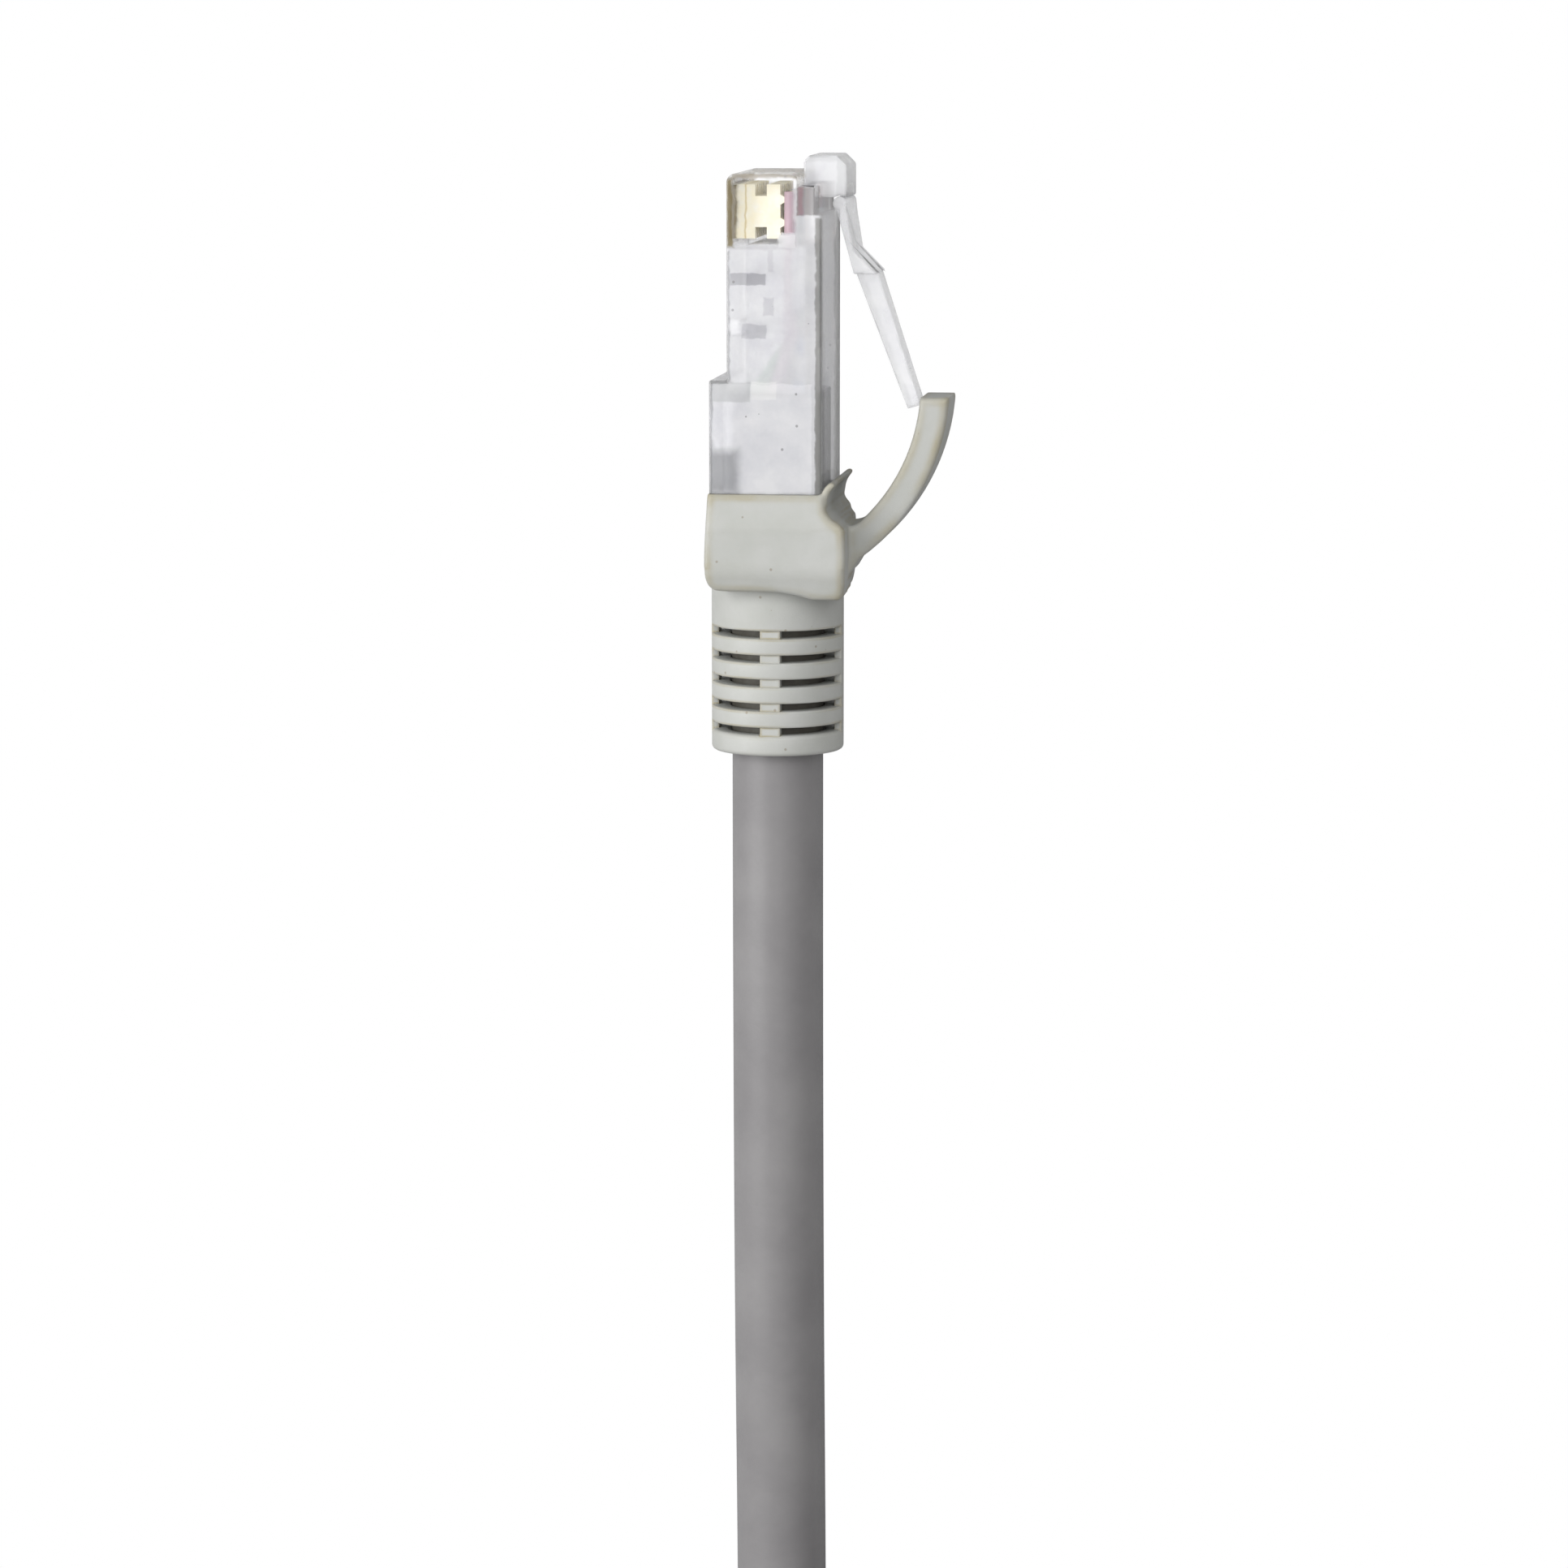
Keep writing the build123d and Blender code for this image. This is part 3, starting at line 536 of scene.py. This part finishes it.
def smooth(piece, angle):
    """Smooth shading, with edges sharper than the angle kept."""
    edit_only(piece)
    bpy.ops.object.shade_smooth_by_angle(angle=radians(angle))


hood_vinyl = boot_plastic("boot_vinyl", 0.8 * MM)
neck_vinyl = boot_plastic("neck_vinyl", 0.2 * MM)
for end, plug in PLUGS.items():
    skin = copy_to(boot_skin, f"boot_{end}_skin", plug)
    smooth(skin, 40)
    skin.data.materials.append(hood_vinyl)
    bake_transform(skin)
    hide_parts(f"boot_{end}", f"boot_{end}_arm")
    sleeve = copy_to(neck, f"boot_{end}_neck", plug)
    smooth(sleeve, 35)
    sleeve.data.materials.append(neck_vinyl)
    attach(sleeve, "cable")
    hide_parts(f"boot_{end}")
bpy.data.objects.remove(boot_skin)
bpy.data.objects.remove(neck)


# ---------------------------------------------------------------- tie
# A flat black hook-and-loop strap holds the coil's turns together. It is one strip of brushed cloth that
# goes once round the four turns and closes on itself, with its free end lying over its start.
TIE_LOW, TIE_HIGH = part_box("coil_tie")
STRAP_REACH = (TIE_HIGH.z - TIE_LOW.z) / 2 / MM - 0.2
STRAP_THICKNESS, STRAP_HALF, STRAP_ROUNDING, STRAP_SQUARENESS = 0.38, 2.0, 0.1, 4.5
STRAP_START, STRAP_STEP, STRAP_STEPS = -30, 3, 140  # in degrees round the bundle
LIFT, LIFT_START, LIFT_LENGTH = 0.42, 348, 12  # the free end's climb onto the start: mm, then degrees


def strap_side(side):
    """One face of the strap, side 1 outside and -1 inside, as points in mm round the bundle."""
    points = []
    for step in range(STRAP_STEPS + 1):
        turn = STRAP_START + step * STRAP_STEP
        over = min(max((turn - STRAP_START - LIFT_START) / LIFT_LENGTH, 0), 1)
        reach = STRAP_REACH + LIFT * over + side * STRAP_THICKNESS / 2
        points.append([copysign(reach * abs(part) ** (2 / STRAP_SQUARENESS), part)
                       for part in (cos(radians(turn)), sin(radians(turn)))])
    return points


strap = outline_solid("coil_strap", strap_side(1) + strap_side(-1)[::-1], STRAP_HALF, STRAP_ROUNDING)
strap.data.transform(Matrix.Translation((TIE_LOW + TIE_HIGH) / 2) @ Matrix.Rotation(pi / 2, 4, "X"))
smooth(strap, 50)
strap_cloth = plastic(
    "strap_cloth", (0.018, 0.018, 0.019), (0.035, 0.034, 0.034), 0.5 * MM, 0.14 * MM, 0.9, depth=0.2 * MM,
    Sheen_Weight=0.5)
strap.data.materials.append(strap_cloth)
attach(strap, "cable")
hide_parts("coil_tie")


# ---------------------------------------------------------------- clear plugs
# Each plug is a clear polycarbonate moulding with a springy latch, milky where its inside scatters the
# light.
# Its pockets, bars and the edges of its walls are painted in as grey shade, one facet as a highlight, and
# gold in its rims as painted reflections of the contacts.
PLUG_SIDES = ("X", "Back", "Across")
DEEP_INSIDE = 9.0  # in mm, more than any block reaches

# Block mask: 1 inside a block of the plug, with soft sides.
block_mask, given, result = effect_group(
    "block_mask",
    {limit + side: 0.0 for side in PLUG_SIDES for limit in ("", "Low ", "High ")} | {"Soft": 0.1},
    ("Mask",))
inside = DEEP_INSIDE
for side in PLUG_SIDES:
    above = maths(block_mask, "SUBTRACT", given[side], given["Low " + side])
    below = maths(block_mask, "SUBTRACT", given["High " + side], given[side])
    inside = maths(block_mask, "MINIMUM", maths(block_mask, "MINIMUM", above, below), inside)
half_soft = maths(block_mask, "MULTIPLY", given["Soft"], -0.5)
mask = node(block_mask, "MapRange", {"Value": inside, "From Min": half_soft, "From Max": given["Soft"]},
            interpolation_type="SMOOTHSTEP")
block_mask.links.new(mask.outputs["Result"], result["Mask"])


def plug_place(tree, plug):
    """The place on a plug in mm, a little wavy: toward the latch, behind the nose and off the middle."""
    place = node(tree, "TexCoord").outputs["Object"]
    home = plug.inverted()
    turned = node(tree, "Mapping", {"Vector": place, "Location": home.to_translation(),
                                    "Rotation": home.to_euler()})
    in_mm = node(tree, "VectorMath", {0: turned.outputs[0], "Scale": 1 / MM}, operation="SCALE").outputs[0]
    wobble = node(tree, "TexNoise", {"Vector": in_mm, "Scale": 1.1, "Detail": 3.0}).outputs["Color"]
    wobble = node(tree, "VectorMath", {0: wobble, 1: (0.5, 0.5, 0.5)}, operation="SUBTRACT").outputs[0]
    wobble = node(tree, "VectorMath", {0: wobble, "Scale": 0.4}, operation="SCALE").outputs[0]
    wavy = node(tree, "VectorMath", {0: in_mm, 1: wobble}, operation="ADD").outputs[0]
    parts = node(tree, "SeparateXYZ", {0: wavy})
    back = maths(tree, "MULTIPLY", parts.outputs["Y"], -1.0)
    across = maths(tree, "ABSOLUTE", parts.outputs["Z"])
    return parts.outputs["X"], back, across


WHOLE = (-1.0, 9.0)  # the plug's whole width, both sides of its middle


def block(tree, place, toward_latch, back, across=WHOLE, soft=0.3):
    """A mask that is 1 in a block of the plug, given as three ranges in mm."""
    mask = node(tree, "Group", {"Soft": soft}, node_tree=block_mask)
    for side, source, limits in zip(PLUG_SIDES, place, (toward_latch, back, across)):
        tree.links.new(source, mask.inputs[side])
        mask.inputs["Low " + side].default_value, mask.inputs["High " + side].default_value = limits
    return mask.outputs["Mask"]


# Painted light inside the clear plastic: grey painted shade of pockets, walls and edges, one painted
# highlight and painted gold reflections in the rims, with two real tints, the milky plastic over the wires
# and the wire ends seen through it.
PAINTED_SHADE_AND_TINTS = (
    # toward the latch, behind the nose, off the middle, softness, strength, colour
    ((-5.0, 1.6), (4.9, 5.25), WHOLE, 0.2, 0.45, (0.50, 0.50, 0.51)),  # painted shade of the wall behind the contacts
    ((0.7, 2.0), (4.1, 5.2), WHOLE, 0.15, 0.8, (0.86, 0.86, 0.88)),  # plastic over the wires
    ((4.5, 5.4), (-1.4, 1.8), WHOLE, 0.12, 0.4, (0.50, 0.51, 0.51)),  # painted shade of the wall of the latch root
    ((2.2, 5.4), (-1.4, -0.75), WHOLE, 0.12, 0.35, (0.55, 0.56, 0.56)),  # painted shade on its front
    ((0.0, 0.45), (5.2, 6.8), WHOLE, 0.1, 0.3, (0.50, 0.50, 0.52)),  # painted shade at the end of the load bar
    ((-2.63, -0.1), (6.87, 7.7), WHOLE, 0.08, 0.85, (0.44, 0.44, 0.47)),  # painted shade of the first cross pocket
    ((-0.35, 0.5), (8.5, 9.8), WHOLE, 0.1, 0.5, (0.60, 0.60, 0.63)),  # painted shade of the spacer between the pockets
    ((-1.78, -0.1), (10.35, 11.4), WHOLE, 0.08, 0.6, (0.52, 0.52, 0.55)),  # painted shade of the pocket of the wire clamp
    ((-4.3, -1.2), (14.35, 15.8), WHOLE, 0.1, 0.45, (0.52, 0.53, 0.53)),  # painted shade of the wall where the shoulder starts
    ((-1.2, 0.7), (14.3, 15.6), WHOLE, 0.1, 0.8, (1.0, 1.0, 1.0)),  # painted highlight on a facet of the cable entry
    ((-4.3, -1.95), (19.0, 22.3), WHOLE, 0.6, 0.75, (0.34, 0.345, 0.36)),  # painted shade of the strain relief at the cable entry
    ((3.3, 4.0), (3.0, 22.3), (5.35, 7.0), 0.12, 0.85, (0.19, 0.19, 0.17)),  # painted dark edges of the latch side
    ((3.5, 4.0), (3.0, 12.0), (4.3, 6.0), 0.25, 0.5, (0.19, 0.19, 0.18)),  # shade inside its edges
    ((3.5, 4.0), (11.0, 22.3), (3.4, 5.4), 0.3, 0.6, (0.12, 0.12, 0.115)),  # and darker by the boot
    ((2.05, 4.0), (0.7, 2.85), (3.2, 7.0), 0.12, 0.8, (0.24, 0.22, 0.22)),  # painted shade of the step under the latch root
    ((2.1, 2.5), (0.8, 2.85), (3.2, 7.0), 0.15, 0.6, (0.45, 0.22, 0.26)),  # wire ends through its corner
    ((-3.0, -2.6), (5.3, 14.4), (5.3, 7.0), 0.1, 0.7, (0.33, 0.33, 0.34)),  # painted dark edge of the contact side
    ((-4.3, -3.82), (14.2, 22.3), (5.3, 7.0), 0.1, 0.6, (0.33, 0.33, 0.34)),  # painted dark edge of the shoulder
    ((-4.3, -2.7), (14.2, 14.55), (5.3, 7.0), 0.1, 0.8, (0.28, 0.28, 0.28)),  # its painted dark front edge
    ((-3.0, -2.3), (0.2, 5.1), WHOLE, 0.25, 0.95, (0.22, 0.17, 0.07)),  # painted gold reflection in the contact side's rim
    ((-2.6, 2.3), (-0.1, 0.38), WHOLE, 0.2, 0.85, (0.34, 0.29, 0.21)),  # painted shade and gold reflection in the nose's rim
)


# How opaque the plastic is: all over, behind its step, and where it is clearest, over the contacts. The
# latch and the latch side are clear by a share of that.
MILKY, MILKY_BACK, CLEAREST = 0.72, 0.88, 0.03
LATCH_CLEAR, LATCH_SIDE_CLEAR = 0.35, 0.14


def clear_plastic(name, plug):
    """The clear plastic of one plug."""
    plastic_shell = plastic(
        name, (0.83, 0.83, 0.87), (0.97, 0.97, 0.985), 2.2 * MM, 0.3 * MM, 0.14,
        Transmission_Weight=0.4, IOR=1.5)
    tree = plastic_shell.node_tree
    shaded_rims = node(tree, "Group", {"Width": 0.26 * MM, "Patch Scale": 600}, node_tree=edge_tint).outputs["Mask"]
    place = plug_place(tree, plug)
    by_contacts = block(tree, place, (-2.9, 1.9), (-0.5, 4.9))
    clear = by_contacts
    for toward_latch, back, share in (
        ((4.3, 11), (1.8, 17), LATCH_CLEAR),
        ((3.45, 4.1), (2.9, 22.3), LATCH_SIDE_CLEAR),
    ):
        clearer = block(tree, place, toward_latch, back, across=(-1.0, 4.8))
        clear = maths(tree, "MAXIMUM", clear, maths(tree, "MULTIPLY", clearer, share))
    milk = node(tree, "MapRange", {"Value": clear, "To Min": MILKY, "To Max": CLEAREST}).outputs["Result"]
    behind = block(tree, place, (-9, 3.3), (14.3, 24))
    milk = maths(tree, "MAXIMUM", milk, maths(tree, "MULTIPLY", behind, MILKY_BACK))
    # Each row paints shade, a highlight, a reflection or a tint into the colour, and makes the plastic more
    # opaque there.
    for toward_latch, back, across, soft, strength, colour in PAINTED_SHADE_AND_TINTS:
        mask = block(tree, place, toward_latch, back, across, soft)
        tint(plastic_shell, mask, strength, colour)
        milk = maths(tree, "MAXIMUM", milk, maths(tree, "MULTIPLY", mask, strength))
    # Painted shade along the edges of the clear walls, where clear plastic looks dark.
    tint(plastic_shell, shaded_rims, 0.9, (0.16, 0.165, 0.155))
    rim_share = node(tree, "MapRange", {"Value": by_contacts, "To Min": 0.85, "To Max": 0.15})
    rim_milk = maths(tree, "MULTIPLY", shaded_rims, rim_share.outputs["Result"])
    dirt = node(tree, "Group", node_tree=specks)
    tint(plastic_shell, dirt.outputs["Mask"], 0.6, (0.2, 0.2, 0.19))
    opaque = maths(tree, "MAXIMUM", milk, rim_milk)
    tree.links.new(opaque, tree.nodes["Principled BSDF"].inputs["Alpha"])
    return plastic_shell


EDGE_ROUNDING = {"housing": 0.12, "latch": 0.08, "load_bar": 0.05, "conductor_clamp": 0.05,
                 "jacket_clamp": 0.05}
for end, plug in PLUGS.items():
    clear = clear_plastic(f"clear_plastic_{end}", plug)
    for piece, rounding in EDGE_ROUNDING.items():
        finish(f"plug_{end}_{piece}", clear)
        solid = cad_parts[f"plug_{end}_{piece}"]
        solid.modifiers.new("merge", "WELD").merge_threshold = 0.001 * MM
        flat = solid.modifiers.new("flats", "DECIMATE")
        flat.decimate_type = "DISSOLVE"
        flat.angle_limit = radians(1)
        edges = solid.modifiers.new("edges", "BEVEL")
        edges.width = rounding * MM
        edges.use_clamp_overlap = False
        edges.segments = 2
        edges.limit_method = "ANGLE"
        edges.angle_limit = radians(30)


# ---------------------------------------------------------------- contacts and wires
# Eight gold-plated blades in each plug are pressed through the insulation of eight colour-coded wires with
# bare copper cores. The wires come out of the jacket in four pairs, kept apart by a white plastic spline.
RUBBED_DEPTH, RUBBED_BACK = (-1.86, -1.7), (0, 6)  # the line that sockets rub along the blades, in mm
for end, plug in PLUGS.items():
    gold_plate = plastic(
        f"gold_plate_{end}", (1.0, 0.93, 0.70), (1.0, 0.97, 0.85), 0.8 * MM, 0.05 * MM, 0.35, Metallic=0.25)
    place = plug_place(gold_plate.node_tree, plug)
    rubbed = block(gold_plate.node_tree, place, RUBBED_DEPTH, RUBBED_BACK, soft=0.08)
    tint(gold_plate, rubbed, 0.7, (0.62, 0.48, 0.18))
    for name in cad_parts:
        if name.startswith(f"plug_{end}_contact"):
            finish(name, gold_plate)

# Bands: 1 on the coloured stretches of a banded wire.
bands, given, result = effect_group("bands", {"Pitch": 0.006, "Share": 0.5}, ("Mask",))
place = node(bands, "SeparateXYZ", {0: node(bands, "TexCoord").outputs["Object"]})
along = maths(bands, "ADD", place.outputs["X"], place.outputs["Y"])
slant = maths(bands, "ADD", place.outputs["Z"], along)
in_band = maths(bands, "FRACT", maths(bands, "DIVIDE", slant, given["Pitch"]))
bands.links.new(maths(bands, "LESS_THAN", in_band, given["Share"]), result["Mask"])

BAND_PITCH, BAND_SHARE = 3 * MM, 0.4
WHITE = (0.86, 0.85, 0.82)
WIRE_COLOURS = {"orange": (0.75, 0.25, 0.05), "green": (0.10, 0.36, 0.14), "blue": (0.08, 0.20, 0.55),
                "brown": (0.56, 0.40, 0.46)}
PINS = (("white", "orange"), ("orange",), ("white", "green"), ("blue",), ("white", "blue"), ("green",),
        ("white", "brown"), ("brown",))
for pin, colours in enumerate(PINS, start=1):
    colour = WIRE_COLOURS[colours[-1]]
    main = WHITE if len(colours) == 2 else colour
    insulation = plastic(
        "wire_" + "_".join(colours), main, tuple(0.9 * part for part in main), 2 * MM, 0.1 * MM, 0.45)
    if len(colours) == 2:
        stripes = node(insulation.node_tree, "Group", {"Pitch": BAND_PITCH, "Share": BAND_SHARE},
                       node_tree=bands)
        tint(insulation, stripes.outputs["Mask"], 1.0, colour)
    for end in "ab":
        finish(f"cable_end_{end}_conductor_{pin}", insulation)

copper = plastic(
    "bare_copper", (0.85, 0.42, 0.26), (0.93, 0.52, 0.34), 1 * MM, 0.05 * MM, 0.3, Metallic=1.0)
spline_plastic = plastic(
    "spline_plastic", (0.80, 0.80, 0.78), (0.88, 0.88, 0.86), 2 * MM, 0.1 * MM, 0.5)
for end in "ab":
    finish(f"cable_end_{end}_copper_cores", copper)
    finish(f"cable_end_{end}_cross_spline", spline_plastic)
